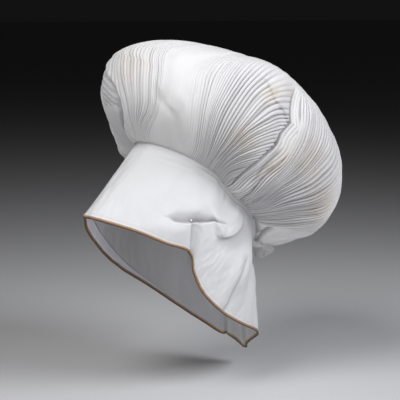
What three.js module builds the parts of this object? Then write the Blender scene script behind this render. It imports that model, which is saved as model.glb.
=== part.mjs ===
// A large white sun bonnet: a pleated balloon crown, a long smooth brim that runs down into a neck
// curtain, and a brown braid round its free edge. The wearer's left side of the brim is tucked and pinned.
// Millimetres. +X is the wearer's left, -Y is forward, +Z is up. The origin is where the head's top sits.

import * as THREE from 'three';

// Seam between crown and brim: an oval loop, tilted back, bowed up at its sides
const seamForward = -31;
const seamUp = -61;
const seamTilt = 42;
const seamHalfLength = 140;
const seamHalfWidth = 102;
const seamBow = 28;

// Where the seam leaves the oval: along is a share of seamHalfLength, above a share of seamBow
const seamShifts = [
  { angle: 24, halfAngle: 50, along: 0, above: 0.29 },
  { angle: -12, halfAngle: 26, along: -0.05, above: 0 },
  { angle: 89, halfAngle: 12, along: 0, above: -0.22 },
  { angle: 165, halfAngle: 46, along: 0.055, above: 0 },
];

// Crown
const crownReach = 200;
const crownHeight = 243;
const crownSlip = 6;
const crownWall = 2.6;
const pleatDepth = 1.4;
const pleatCount = 80;

// Brim, sides and neck curtain
const brimReach = 168;
const edgeHalfWidth = 98;
const edgeDrop = 345;
const brimWall = 2;
const sideBulge = 14;

// Trim
const clearance = 0.3;
const bindingRadius = 1.5;
const braidHalfWidth = 2.4;
const braidHalfThickness = 1.9;
const braidGap = 0.7;
const facingWidth = 15;
const facingWall = 1;
const facingInset = 1;
const facingGap = 0.9;
const pinRadius = 1.8;
const ruffleDrop = 20;
const ruffleWall = 1.2;
const ruffleFold = 3;

// Facets
const crownInnerColumns = 40;
const crownInnerRows = 8;
const innerTopShare = 0.94;
const brimColumns = 82;
const braidSides = 6;
const bindingColumns = 64;
const bindingSides = 5;
const ruffleColumns = 18;

// Steps for measuring directions on a surface, in degrees and as shares of its length
const angleStep = 0.5;
const riseStepShare = 0.004;
const borderStepShare = 0.02;

// Crown sections round the seam. Angles in degrees run from the front over the wearer's left. reach is a
// share of crownReach, height (of the widest place) and sag are shares of crownHeight, and full is the
// exponent of the top's curve: 1 is an ellipse, less is fuller.
const crownSections = [
  { angle: 0, reach: 1.28, height: 0.355, sag: 0.045, full: 1.25 },
  { angle: 30, reach: 1.125, height: 0.395, sag: 0.01, full: 1.05 },
  { angle: 60, reach: 1.04, height: 0.51, sag: 0.0, full: 0.82 },
  { angle: 90, reach: 0.94, height: 0.545, sag: -0.01, full: 0.82 },
  { angle: 120, reach: 0.955, height: 0.515, sag: -0.035, full: 0.87 },
  { angle: 150, reach: 1.04, height: 0.45, sag: -0.075, full: 0.9 },
  { angle: 180, reach: 1.045, height: 0.445, sag: -0.09, full: 0.88 },
  { angle: 210, reach: 1.02, height: 0.445, sag: -0.04, full: 0.88 },
  { angle: 240, reach: 0.94, height: 0.465, sag: 0.035, full: 0.89 },
  { angle: 270, reach: 0.91, height: 0.435, sag: 0.13, full: 0.89 },
  { angle: 300, reach: 0.94, height: 0.31, sag: 0.23, full: 0.97 },
  { angle: 330, reach: 1.1, height: 0.345, sag: 0.055, full: 1.1 },
];
const lowerShare = 0.36;
const seamSwellShare = 0.45;
const widestLiftShare = 0.3;
const widestSagShare = 1.15;
const crownRows = [0, 0.035, 0.08, 0.13, 0.18, 0.23, 0.28, 0.33, 0.39, 0.46, 0.54, 0.63, 0.73, 0.83, 0.92];

// Free edge. forward is a share of brimReach, side of edgeHalfWidth and down of edgeDrop.
const edgeSections = [
  { angle: 0, forward: 0.99, side: 0, down: 0.228 },
  { angle: 18, forward: 0.93, side: 0.27, down: 0.234 },
  { angle: 45, forward: 0.64, side: 0.72, down: 0.284 },
  { angle: 65, forward: 0.39, side: 0.95, down: 0.341 },
  { angle: 78, forward: 0.185, side: 1.01, down: 0.383 },
  { angle: 92, forward: 0.113, side: 0.97, down: 0.493 },
  { angle: 106, forward: 0.01, side: 0.97, down: 0.591 },
  { angle: 122, forward: -0.21, side: 0.96, down: 0.696 },
  { angle: 140, forward: -0.48, side: 0.88, down: 0.775 },
  { angle: 160, forward: -0.775, side: 0.49, down: 0.85 },
  { angle: 180, forward: -0.88, side: 0.02, down: 0.925 },
  { angle: 200, forward: -0.96, side: -0.43, down: 1 },
  { angle: 212, forward: -0.865, side: -0.59, down: 0.93 },
  { angle: 225, forward: -0.83, side: -0.86, down: 0.945 },
  { angle: 238, forward: -0.635, side: -0.95, down: 0.88 },
  { angle: 256, forward: -0.3, side: -0.99, down: 0.765 },
  { angle: 276, forward: 0.06, side: -0.94, down: 0.642 },
  { angle: 294, forward: 0.34, side: -0.84, down: 0.555 },
  { angle: 306, forward: 0.5, side: -0.735, down: 0.497 },
  { angle: 318, forward: 0.655, side: -0.61, down: 0.43 },
  { angle: 334, forward: 0.845, side: -0.46, down: 0.319 },
  { angle: 345, forward: 0.92, side: -0.28, down: 0.2485 },
];
const brimRows = [0, 0.1, 0.22, 0.34, 0.44, 0.52, 0.58, 0.64, 0.72, 0.82, 0.92, 1];

// Creases and ridges of the crown: the line that each follows from the seam (rise 0) towards the top
// (rise 1), its half width in degrees, and how far it goes in (depth as a share of crownReach).
const crownCreases = [
  { width: 4, depth: 0.05, line: [[0.02, 83], [0.24, 84], [0.38, 81], [0.5, 79], [0.62, 77]] },
  { width: 4, depth: -0.02, line: [[0.05, 90], [0.24, 91], [0.38, 88], [0.55, 87]] },
  { width: 3, depth: 0.025, line: [[0.0, 97], [0.18, 98], [0.32, 96]] },
  { width: 7, depth: 0.045, line: [[0.0, 6], [0.11, 9], [0.21, 8], [0.32, -3]] },
  { width: 5, depth: 0.014, line: [[0.02, 27], [0.2, 29], [0.4, 33], [0.6, 40]] },
  { width: 5, depth: 0.012, line: [[0.02, 44], [0.2, 46], [0.4, 48], [0.55, 52]] },
  { width: 6, depth: 0.03, line: [[0.0, 300], [0.2, 302], [0.35, 300]] },
  { width: 5, depth: 0.02, line: [[0.0, 232], [0.2, 234], [0.4, 232]] },
];
const creaseFadeShare = 0.08;

// Stretches without pleats: from angle to angle, how gently the pleats fade beside it, and up to which rise
const smoothZones = [
  { from: 17, to: 57, edge: 6, upTo: 1 },
  { from: 148, to: 212, edge: 8, upTo: 0.14 },
];
const zoneFadeShare = 0.08;

// Pleats rise to full depth by pleatsFullShare, are full up to pleatsFadeShare and end at pleatsEndShare
const pleatsFullShare = 0.03;
const pleatsFadeShare = 0.55;
const pleatsEndShare = 0.9;

// Dents (outward below 0) and bulges of the brim's cloth. down runs from 0 at the seam to 1 at the free
// edge. The half sizes are in degrees and in the same share, and outward is a share of edgeHalfWidth.
// slant moves the middle down per half angle, and lean moves it round, in degrees from seam to edge.
const brimFolds = [
  { angle: 69, halfAngle: 14, down: 0.65, above: 0.12, below: 0.03, slant: -0.1, lean: 0, outward: -0.11 },
  { angle: 60, halfAngle: 10, down: 0.83, above: 0.1, below: 0.12, slant: -0.03, lean: 0, outward: 0.03 },
  { angle: 79, halfAngle: 4, down: 0.86, above: 0.2, below: 0.3, slant: 0, lean: 16, outward: -0.035 },
  { angle: 98, halfAngle: 8, down: 0.16, above: 0.07, below: 0.1, slant: 0, lean: 0, outward: 0.05 },
  { angle: 90, halfAngle: 9, down: 0.42, above: 0.06, below: 0.05, slant: 0.03, lean: 0, outward: 0.06 },
  { angle: 107, halfAngle: 8, down: 0.44, above: 0.08, below: 0.12, slant: -0.08, lean: 0, outward: -0.05 },
  { angle: 122, halfAngle: 7, down: 0.6, above: 0.3, below: 0.22, slant: 0, lean: -14, outward: 0.06 },
  { angle: 139, halfAngle: 6, down: 0.55, above: 0.3, below: 0.35, slant: 0, lean: -10, outward: -0.06 },
  { angle: 172, halfAngle: 9, down: 0.9, above: 0.45, below: 0.4, slant: 0, lean: 0, outward: 0.05 },
  { angle: 188, halfAngle: 5, down: 0.9, above: 0.4, below: 0.4, slant: 0, lean: 0, outward: -0.05 },
  { angle: 211, halfAngle: 5, down: 1.0, above: 0.45, below: 0.4, slant: 0, lean: 0, outward: -0.12 },
  { angle: 252, halfAngle: 8, down: 0.7, above: 0.35, below: 0.4, slant: 0, lean: 0, outward: -0.05 },
  { angle: 282, halfAngle: 8, down: 0.6, above: 0.35, below: 0.3, slant: 0, lean: 0, outward: 0.03 },
];
const foldsFullShare = 0.06;

// The brim's columns stand closer together round the notch
const notchAngle = 82;
const notchGatherAngle = 20;

// Facing: from this column over the front to that one. Pin and ruffle: where they sit.
const facingFirstColumn = -22;
const facingLastColumn = 14;
const facingRows = 2;
const pinAngle = 71;
const pinDownShare = 0.66;
const ruffleFromAngle = 150;
const ruffleToAngle = 204;
const ruffleOutShare = 0.085;
const ruffleStartShare = 0.035;
const ruffleRows = 3;
const ruffleEndShare = 0.35;

const forwardAxis = new THREE.Vector3(0, -Math.cos(rad(seamTilt)), Math.sin(rad(seamTilt)));
const upAxis = new THREE.Vector3(0, Math.sin(rad(seamTilt)), Math.cos(rad(seamTilt)));
const sideAxis = new THREE.Vector3(1, 0, 0);
const seamCentre = new THREE.Vector3(0, -seamForward, seamUp);

function rad(degrees) {
  return (degrees * Math.PI) / 180;
}

function smooth(low, high, x) {
  const t = Math.min(Math.max((x - low) / (high - low), 0), 1);
  return t * t * (3 - 2 * t);
}

// The signed difference of two angles in degrees, from -180 to 180
function turn(a, b) {
  return ((((a - b) % 360) + 540) % 360) - 180;
}

// A column of a table, smoothly interpolated round the circle
function round(rows, column, angle) {
  const count = rows.length;
  const a = ((angle % 360) + 360) % 360;
  let i = count - 1;
  while (i > 0 && rows[i].angle > a) i -= 1;
  const at = (k) => rows[((k % count) + count) % count];
  const step = (k) => {
    const gap = at(k + 1).angle - at(k).angle;
    return gap > 0 ? gap : gap + 360;
  };
  const slope = (k) => (at(k + 1)[column] - at(k - 1)[column]) / (step(k - 1) + step(k));
  const width = step(i);
  const t = (a - at(i).angle) / width;
  const t2 = t * t;
  const t3 = t2 * t;
  return (
    (2 * t3 - 3 * t2 + 1) * at(i)[column] +
    (t3 - 2 * t2 + t) * width * slope(i) +
    (3 * t2 - 2 * t3) * at(i + 1)[column] +
    (t3 - t2) * width * slope(i + 1)
  );
}

// A point from its place along the seam's length, to its side and above its plane
function place(along, side, above) {
  return seamCentre
    .clone()
    .addScaledVector(forwardAxis, along)
    .addScaledVector(sideAxis, side)
    .addScaledVector(upAxis, above);
}

function seamLocal(angle) {
  const c = Math.cos(rad(angle));
  const s = Math.sin(rad(angle));
  let along = seamHalfLength * c;
  let above = seamBow * s * s;
  for (const shift of seamShifts) {
    const near = Math.exp(-((turn(angle, shift.angle) / shift.halfAngle) ** 4));
    along += seamHalfLength * shift.along * near;
    above += seamBow * shift.above * near;
  }
  return { along, side: seamHalfWidth * s, above };
}

function seamPoint(angle) {
  const { along, side, above } = seamLocal(angle);
  return place(along, side, above);
}

// How far a crease goes in at a place on the crown
function creaseDepth(crease, angle, rise) {
  const line = crease.line;
  const first = line[0];
  const last = line[line.length - 1];
  let i = 0;
  while (i < line.length - 2 && line[i + 1][0] < rise) i += 1;
  const t = Math.min(Math.max((rise - line[i][0]) / (line[i + 1][0] - line[i][0]), 0), 1);
  const middle = line[i][1] + t * (line[i + 1][1] - line[i][1]);
  const off = turn(angle, middle) / crease.width;
  const begin = smooth(first[0], first[0] + creaseFadeShare, rise);
  const end = 1 - smooth(last[0] - creaseFadeShare, last[0] + creaseFadeShare, rise);
  return crease.depth * crownReach * Math.exp(-off * off) * begin * end;
}

// The crown's surface without pleats. rise is 0 at the seam and 1 at the top.
function crownForm(angle, rise) {
  const seam = seamLocal(angle);
  const bearing = (Math.atan2(seam.side, seam.along) * 180) / Math.PI;
  const start = Math.hypot(seam.along, seam.side);
  const reach = crownReach * round(crownSections, 'reach', bearing);
  const height = crownHeight * round(crownSections, 'height', bearing);
  const sag = crownHeight * round(crownSections, 'sag', bearing);
  const full = round(crownSections, 'full', bearing);
  let out;
  let above;
  if (rise < lowerShare) {
    const t = rise / lowerShare;
    const w = 1 - t;
    const lift = height - seam.above;
    const early = start + seamSwellShare * (reach - start);
    out = w ** 3 * start + 3 * w * w * t * early + (3 * w * t * t + t ** 3) * reach;
    above =
      w ** 3 * seam.above +
      3 * w * w * t * (seam.above - seamSwellShare * sag) +
      3 * w * t * t * (seam.above + widestLiftShare * lift - widestSagShare * sag) +
      t ** 3 * height;
  } else {
    const turnUp = (((rise - lowerShare) / (1 - lowerShare)) * Math.PI) / 2;
    out = reach * Math.max(Math.cos(turnUp), 0) ** full;
    above = height + (crownHeight - height) * Math.sin(turnUp) ** full;
  }
  let dent = 0;
  for (const crease of crownCreases) dent += creaseDepth(crease, angle, rise);
  out -= dent;
  const slip = crownSlip * Math.max(above / crownHeight, 0);
  return place(out * Math.cos(rad(bearing)) + slip, out * Math.sin(rad(bearing)), above);
}

function edgePoint(angle) {
  return new THREE.Vector3(
    edgeHalfWidth * round(edgeSections, 'side', angle),
    -brimReach * round(edgeSections, 'forward', angle),
    -edgeDrop * round(edgeSections, 'down', angle),
  );
}

// The brim's outer surface. down is 0 at the seam and 1 at the free edge.
function brimForm(angle, down) {
  const point = seamPoint(angle).lerp(edgePoint(angle), down);
  const s = Math.sin(rad(angle));
  let outward = sideBulge * s * s * Math.sin(Math.PI * down);
  for (const fold of brimFolds) {
    const a = (turn(angle, fold.angle) - fold.lean * (down - fold.down)) / fold.halfAngle;
    const middle = fold.down + fold.slant * a;
    const d = (down - middle) / (down < middle ? fold.above : fold.below);
    outward += fold.outward * edgeHalfWidth * Math.exp(-a * a - d * d) * smooth(0, foldsFullShare, down);
  }
  const away = new THREE.Vector3(point.x, point.y + seamForward, 0).normalize();
  return point.addScaledVector(away, outward);
}

// The angle of the brim's column number i, which its braid and facing share
function columnAngle(i) {
  const even = (360 * i) / brimColumns;
  return even - notchGatherAngle * Math.sin(rad(even - notchAngle));
}

// The direction round a surface whose first value is an angle
function acrossOf(form, angle, rise) {
  return form(angle + angleStep, rise).sub(form(angle - angleStep, rise)).normalize();
}

// Outward normal of a surface whose first value runs round and whose second runs up
function normalOf(form, angle, rise, sign) {
  const above = form(angle, Math.min(rise + riseStepShare, 1));
  const along = above.sub(form(angle, Math.max(rise - riseStepShare, 0)));
  return acrossOf(form, angle, rise).cross(along).multiplyScalar(sign).normalize();
}

// The share of a surface's length that lies within a distance of its start (end 0) or its end (end 1),
// measured square to that border
function borderShare(form, angle, distance, end) {
  const inward = form(angle, Math.abs(end - borderStepShare)).sub(form(angle, end));
  return (distance * borderStepShare) / inward.cross(acrossOf(form, angle, end)).length();
}

// A closed mesh from points and faces, turned so that its faces point out
function closedMesh(name, points, faces, material) {
  let volume = 0;
  for (const [a, b, c] of faces) volume += points[a].dot(points[b].clone().cross(points[c]));
  const positions = points.flatMap((p) => [p.x, p.y, p.z]);
  const index = faces.flatMap(([a, b, c]) => (volume > 0 ? [a, b, c] : [a, c, b]));
  const geometry = new THREE.BufferGeometry();
  geometry.setAttribute('position', new THREE.Float32BufferAttribute(positions, 3));
  geometry.setIndex(index);
  geometry.computeVertexNormals();
  const mesh = new THREE.Mesh(geometry, material);
  mesh.name = name;
  return mesh;
}

function quad(faces, a, b, c, d) {
  faces.push([a, b, c], [a, c, d]);
}

// A wall between two surfaces, both given by column and row, closed along its borders
function wall(name, columns, rows, outer, inner, isLoop, material) {
  const points = [];
  const faces = [];
  const across = isLoop ? columns : columns + 1;
  for (const side of [outer, inner]) {
    for (let j = 0; j <= rows; j += 1) {
      for (let i = 0; i < across; i += 1) points.push(side(i, j));
    }
  }
  const total = across * (rows + 1);
  const at = (layer, i, j) => layer * total + j * across + (i % across);
  for (let i = 0; i < columns; i += 1) {
    for (let j = 0; j < rows; j += 1) {
      quad(faces, at(0, i, j), at(0, i + 1, j), at(0, i + 1, j + 1), at(0, i, j + 1));
      quad(faces, at(1, i, j), at(1, i, j + 1), at(1, i + 1, j + 1), at(1, i + 1, j));
    }
    quad(faces, at(0, i, 0), at(1, i, 0), at(1, i + 1, 0), at(0, i + 1, 0));
    quad(faces, at(0, i, rows), at(0, i + 1, rows), at(1, i + 1, rows), at(1, i, rows));
  }
  if (!isLoop) {
    for (let j = 0; j < rows; j += 1) {
      quad(faces, at(0, 0, j), at(0, 0, j + 1), at(1, 0, j + 1), at(1, 0, j));
      quad(faces, at(0, columns, j), at(1, columns, j), at(1, columns, j + 1), at(0, columns, j + 1));
    }
  }
  return closedMesh(name, points, faces, material);
}

// A closed ring of oval sections. frame gives each section's centre and its two axes.
function ringTube(name, steps, sides, frame, material) {
  const points = [];
  const faces = [];
  for (let i = 0; i < steps; i += 1) {
    const { centre, first, second } = frame(i);
    for (let k = 0; k < sides; k += 1) {
      const a = (2 * Math.PI * (k + 0.5)) / sides;
      points.push(centre.clone().addScaledVector(first, Math.cos(a)).addScaledVector(second, Math.sin(a)));
    }
  }
  for (let i = 0; i < steps; i += 1) {
    const next = (i + 1) % steps;
    for (let k = 0; k < sides; k += 1) {
      const l = (k + 1) % sides;
      quad(faces, i * sides + k, next * sides + k, next * sides + l, i * sides + l);
    }
  }
  return closedMesh(name, points, faces, material);
}

function pleatStrength(angle, rise) {
  let strength = smooth(0, pleatsFullShare, rise) * (1 - smooth(pleatsFadeShare, pleatsEndShare, rise));
  for (const { from, to, edge, upTo } of smoothZones) {
    const outside = Math.abs(turn(angle, (from + to) / 2)) - (to - from) / 2;
    const beside = smooth(-edge / 2, edge / 2, outside);
    strength *= Math.max(beside, smooth(upTo, upTo + zoneFadeShare, rise));
  }
  return strength;
}

function makeCrown(material) {
  const columns = 2 * pleatCount;
  const share = columns / crownInnerColumns;
  const points = [];
  const faces = [];
  const riseAt = (angle, rise) => {
    const start = borderShare(crownForm, angle, bindingRadius + clearance, 0);
    return start + rise * (1 - start);
  };
  for (const row of crownRows) {
    for (let i = 0; i < columns; i += 1) {
      const angle = (360 * i) / columns;
      const rise = riseAt(angle, row);
      const inward = i % 2 ? pleatDepth * pleatStrength(angle, row) : 0;
      points.push(crownForm(angle, rise).addScaledVector(normalOf(crownForm, angle, rise, 1), -inward));
    }
  }
  const outerTop = points.push(crownForm(0, 1)) - 1;
  const innerFirst = points.length;
  for (let j = 0; j < crownInnerRows; j += 1) {
    for (let i = 0; i < crownInnerColumns; i += 1) {
      const angle = (360 * i) / crownInnerColumns;
      const rise = riseAt(angle, (innerTopShare * j) / crownInnerRows);
      points.push(crownForm(angle, rise).addScaledVector(normalOf(crownForm, angle, rise, 1), -crownWall));
    }
  }
  const innerTop = points.push(crownForm(0, 1).addScaledVector(upAxis, -crownWall)) - 1;
  const outer = (i, j) => j * columns + (i % columns);
  const inner = (i, j) => innerFirst + j * crownInnerColumns + (i % crownInnerColumns);
  const lastOuter = crownRows.length - 1;
  for (let i = 0; i < columns; i += 1) {
    for (let j = 0; j < lastOuter; j += 1) {
      quad(faces, outer(i, j), outer(i + 1, j), outer(i + 1, j + 1), outer(i, j + 1));
    }
    faces.push([outer(i, lastOuter), outer(i + 1, lastOuter), outerTop]);
  }
  const lastInner = crownInnerRows - 1;
  for (let i = 0; i < crownInnerColumns; i += 1) {
    for (let j = 0; j < lastInner; j += 1) {
      quad(faces, inner(i, j), inner(i, j + 1), inner(i + 1, j + 1), inner(i + 1, j));
    }
    faces.push([inner(i, lastInner), innerTop, inner(i + 1, lastInner)]);
    // the rim joins each inner step to its share of outer steps
    for (let k = 0; k < share; k += 1) {
      const o = i * share + k;
      faces.push([outer(o + 1, 0), outer(o, 0), inner(k < share / 2 ? i : i + 1, 0)]);
    }
    faces.push([outer(i * share + share / 2, 0), inner(i, 0), inner(i + 1, 0)]);
  }
  return closedMesh('crown', points, faces, material);
}

function makeBrim(material) {
  const shareOf = (angle, row) => {
    const start = borderShare(brimForm, angle, bindingRadius + clearance, 0);
    const end = 1 - borderShare(brimForm, angle, braidHalfWidth + braidGap, 1);
    return start + row * (end - start);
  };
  const layer = (depth) => (i, j) => {
    const angle = columnAngle(i);
    const down = shareOf(angle, brimRows[j]);
    return brimForm(angle, down).addScaledVector(normalOf(brimForm, angle, down, -1), -depth);
  };
  return wall('brim', brimColumns, brimRows.length - 1, layer(0), layer(brimWall), true, material);
}

function makeFacing(material) {
  const layer = (depth) => (i, j) => {
    const angle = columnAngle(facingFirstColumn + i);
    const end = 1 - borderShare(brimForm, angle, braidHalfWidth + braidGap + facingInset, 1);
    const start = 1 - borderShare(brimForm, angle, braidHalfWidth + facingWidth, 1);
    const down = start + ((end - start) * j) / facingRows;
    return brimForm(angle, down).addScaledVector(normalOf(brimForm, angle, down, -1), -depth);
  };
  const near = brimWall + facingGap;
  const far = near + facingWall;
  const columns = facingLastColumn - facingFirstColumn;
  return wall('brim_facing', columns, facingRows, layer(near), layer(far), false, material);
}

// The braid wraps the edge, its oval turned with the cloth
function makeBraid(material) {
  const frame = (i) => {
    const angle = columnAngle(i);
    const out = normalOf(brimForm, angle, 1, -1);
    const second = out.clone().multiplyScalar(braidHalfThickness);
    const first = acrossOf(brimForm, angle, 1).cross(out).normalize().multiplyScalar(braidHalfWidth);
    return { centre: brimForm(angle, 1).addScaledVector(out, -brimWall / 2), first, second };
  };
  return ringTube('edge_braid', brimColumns, braidSides, frame, material);
}

function makeBinding(material) {
  const frame = (i) => {
    const angle = (360 * i) / bindingColumns;
    const { along, side } = seamLocal(angle);
    const away = place(along, side, 0).sub(seamCentre).normalize();
    return {
      centre: seamPoint(angle),
      first: away.multiplyScalar(bindingRadius),
      second: upAxis.clone().multiplyScalar(bindingRadius),
    };
  };
  return ringTube('seam_binding', bindingColumns, bindingSides, frame, material);
}

function makePin(material) {
  const mesh = new THREE.Mesh(new THREE.SphereGeometry(pinRadius, 10, 8), material);
  const out = normalOf(brimForm, pinAngle, pinDownShare, -1);
  mesh.position.copy(brimForm(pinAngle, pinDownShare).addScaledVector(out, pinRadius + clearance));
  mesh.name = 'tuck_pin';
  return mesh;
}

// The ruffle hangs from the crown's underside in a bow behind the nape
function makeRuffle(material) {
  const layer = (side) => (i, j) => {
    const share = i / ruffleColumns;
    const angle = ruffleFromAngle + (ruffleToAngle - ruffleFromAngle) * share;
    const bow = Math.sin(Math.PI * share);
    const rise = ruffleStartShare + ruffleOutShare * bow;
    const under = normalOf(crownForm, angle, rise, 1);
    const top = crownForm(angle, rise).addScaledVector(under, clearance + ruffleWall / 2);
    const away = new THREE.Vector3(top.x, top.y + seamForward, 0).normalize();
    const down = j / ruffleRows;
    const wave = ((i % 2 ? 1 : -1) * ruffleFold * down) / 2;
    const drop = ruffleDrop * (ruffleEndShare + (1 - ruffleEndShare) * bow);
    return top
      .addScaledVector(away, wave + (side * ruffleWall) / 2)
      .addScaledVector(new THREE.Vector3(0, 0, -1), drop * down);
  };
  return wall('nape_ruffle', ruffleColumns, ruffleRows, layer(-1), layer(1), false, material);
}

const pleatedCloth = new THREE.MeshStandardMaterial({ color: 0xe4e3e4, roughness: 0.9, metalness: 0 });
const smoothCloth = new THREE.MeshStandardMaterial({ color: 0xe6e6e8, roughness: 0.85, metalness: 0 });
const facingCloth = new THREE.MeshStandardMaterial({ color: 0xdcdae0, roughness: 0.9, metalness: 0 });
const seamCloth = new THREE.MeshStandardMaterial({ color: 0xdedee0, roughness: 0.9, metalness: 0 });
const ruffleCloth = new THREE.MeshStandardMaterial({ color: 0xd2d0d2, roughness: 0.9, metalness: 0 });
const braidYarn = new THREE.MeshStandardMaterial({ color: 0x9a6f48, roughness: 0.8, metalness: 0 });
const pinWhite = new THREE.MeshStandardMaterial({ color: 0xf2f1ee, roughness: 0.4, metalness: 0 });

const bonnet = new THREE.Group();
bonnet.add(makeCrown(pleatedCloth));
bonnet.add(makeBrim(smoothCloth));
bonnet.add(makeFacing(facingCloth));
bonnet.add(makeBraid(braidYarn));
bonnet.add(makeBinding(seamCloth));
bonnet.add(makePin(pinWhite));
bonnet.add(makeRuffle(ruffleCloth));

export default bonnet;
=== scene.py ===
"""A large white sun bonnet: pleated balloon crown, smooth brim and neck curtain, brown braided edge."""

import math

import bpy
import numpy as np
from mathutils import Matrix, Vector


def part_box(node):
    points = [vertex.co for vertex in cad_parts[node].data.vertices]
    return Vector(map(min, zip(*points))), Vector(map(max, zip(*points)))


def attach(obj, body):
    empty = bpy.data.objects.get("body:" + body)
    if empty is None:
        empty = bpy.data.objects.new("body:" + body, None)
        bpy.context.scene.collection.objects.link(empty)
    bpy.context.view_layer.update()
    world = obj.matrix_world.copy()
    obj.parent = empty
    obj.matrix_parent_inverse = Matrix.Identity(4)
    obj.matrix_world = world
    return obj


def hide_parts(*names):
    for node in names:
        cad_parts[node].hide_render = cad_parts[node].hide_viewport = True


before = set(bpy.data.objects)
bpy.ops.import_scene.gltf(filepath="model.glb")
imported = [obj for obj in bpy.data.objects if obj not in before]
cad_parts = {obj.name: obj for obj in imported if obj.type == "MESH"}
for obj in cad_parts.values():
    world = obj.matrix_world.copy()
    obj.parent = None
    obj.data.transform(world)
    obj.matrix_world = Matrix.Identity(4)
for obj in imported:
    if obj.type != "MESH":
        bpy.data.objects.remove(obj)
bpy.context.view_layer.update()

# sizes, in millimetres

SEAM_FORWARD, SEAM_UP, SEAM_TILT = -31.0, -61.0, 42.0
SEAM_HALF_LENGTH, SEAM_HALF_WIDTH, SEAM_BOW = 140.0, 102.0, 28.0
CROWN_REACH, CROWN_HEIGHT, CROWN_SLIP, CROWN_WALL = 200.0, 243.0, 6.0, 1.6
BRIM_REACH, EDGE_HALF_WIDTH, EDGE_DROP, BRIM_WALL = 168.0, 98.0, 345.0, 1.7
SIDE_BULGE = 14.0
CORD_RADIUS = 1.5
BRAID_HALF_WIDTH, BRAID_HALF_THICKNESS = 3.0, 1.7
FACING_WIDTH, FACING_WALL = 15.0, 0.8
PIN_RADIUS = 1.8

# where the seam leaves the oval: angle, half angle, shift along as a share of the half length, and above as a
# share of the bow
SEAM_SHIFTS = [
    (24, 50, 0, 0.29),
    (-12, 26, -0.05, 0),
    (89, 12, 0, -0.22),
    (165, 46, 0.055, 0),
]

# angle round the seam, reach, height of the widest place, sag and exponent of the top's curve
CROWN_SECTIONS = [
    (0, 1.28, 0.355, 0.045, 1.25),
    (30, 1.125, 0.395, 0.01, 1.05),
    (60, 1.04, 0.51, 0, 0.82),
    (90, 0.94, 0.545, -0.01, 0.82),
    (120, 0.955, 0.515, -0.035, 0.87),
    (150, 1.04, 0.45, -0.075, 0.9),
    (180, 1.045, 0.445, -0.09, 0.88),
    (210, 1.02, 0.445, -0.04, 0.88),
    (240, 0.94, 0.465, 0.035, 0.89),
    (270, 0.91, 0.435, 0.13, 0.89),
    (300, 0.94, 0.31, 0.23, 0.97),
    (330, 1.1, 0.345, 0.055, 1.1),
]
LOWER_SHARE, SEAM_SWELL, WIDEST_LIFT, WIDEST_SAG = 0.36, 0.45, 0.3, 1.15

# angle, forward, side and down of the free edge
EDGE_SECTIONS = [
    (0, 0.99, 0, 0.228),
    (18, 0.93, 0.27, 0.234),
    (45, 0.64, 0.72, 0.284),
    (65, 0.39, 0.95, 0.341),
    (78, 0.185, 1.01, 0.383),
    (92, 0.113, 0.97, 0.493),
    (106, 0.01, 0.97, 0.591),
    (122, -0.21, 0.96, 0.696),
    (140, -0.48, 0.88, 0.775),
    (160, -0.775, 0.49, 0.85),
    (180, -0.88, 0.02, 0.925),
    (200, -0.96, -0.43, 1),
    (212, -0.865, -0.59, 0.93),
    (225, -0.83, -0.86, 0.945),
    (238, -0.635, -0.95, 0.88),
    (256, -0.3, -0.99, 0.765),
    (276, 0.06, -0.94, 0.642),
    (294, 0.34, -0.84, 0.555),
    (306, 0.5, -0.735, 0.497),
    (318, 0.655, -0.61, 0.43),
    (334, 0.845, -0.46, 0.319),
    (345, 0.92, -0.28, 0.2485),
]

# creases of the crown: half width in degrees, depth as a share of the reach, then rise and angle along it
CROWN_CREASES = [
    (4, 0.05, [(0.02, 83), (0.24, 84), (0.38, 81), (0.5, 79), (0.62, 77)]),
    (4, -0.02, [(0.05, 90), (0.24, 91), (0.38, 88), (0.55, 87)]),
    (3, 0.025, [(0, 97), (0.18, 98), (0.32, 96)]),
    (7, 0.045, [(0, 6), (0.11, 9), (0.21, 8), (0.32, -3)]),
    (5, 0.014, [(0.02, 27), (0.2, 29), (0.4, 33), (0.6, 40)]),
    (5, 0.012, [(0.02, 44), (0.2, 46), (0.4, 48), (0.55, 52)]),
    (6, 0.03, [(0, 300), (0.2, 302), (0.35, 300)]),
    (5, 0.02, [(0, 232), (0.2, 234), (0.4, 232)]),
]
CREASE_FADE = 0.08

# dents and bulges of the brim: angle, half angle, down, above, below, slant, lean, outward
BRIM_FOLDS = [
    (60, 10, 0.83, 0.1, 0.12, -0.03, 0, 0.03),
    (79, 4, 0.86, 0.2, 0.3, 0, 16, -0.035),
    (98, 8, 0.16, 0.07, 0.1, 0, 0, 0.05),
    (90, 9, 0.42, 0.06, 0.05, 0.03, 0, 0.06),
    (107, 8, 0.44, 0.08, 0.12, -0.08, 0, -0.05),
    (122, 7, 0.6, 0.3, 0.22, 0, -14, 0.06),
    (139, 6, 0.55, 0.3, 0.35, 0, -10, -0.06),
    (172, 9, 0.9, 0.45, 0.4, 0, 0, 0.05),
    (188, 5, 0.9, 0.4, 0.4, 0, 0, -0.05),
    (211, 5, 1, 0.45, 0.4, 0, 0, -0.12),
    (252, 8, 0.7, 0.35, 0.4, 0, 0, -0.05),
    (282, 8, 0.6, 0.35, 0.3, 0, 0, 0.03),
]
FOLDS_FULL = 0.06
NOTCH_ANGLE, NOTCH_GATHER = 82.0, 20.0

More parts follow.
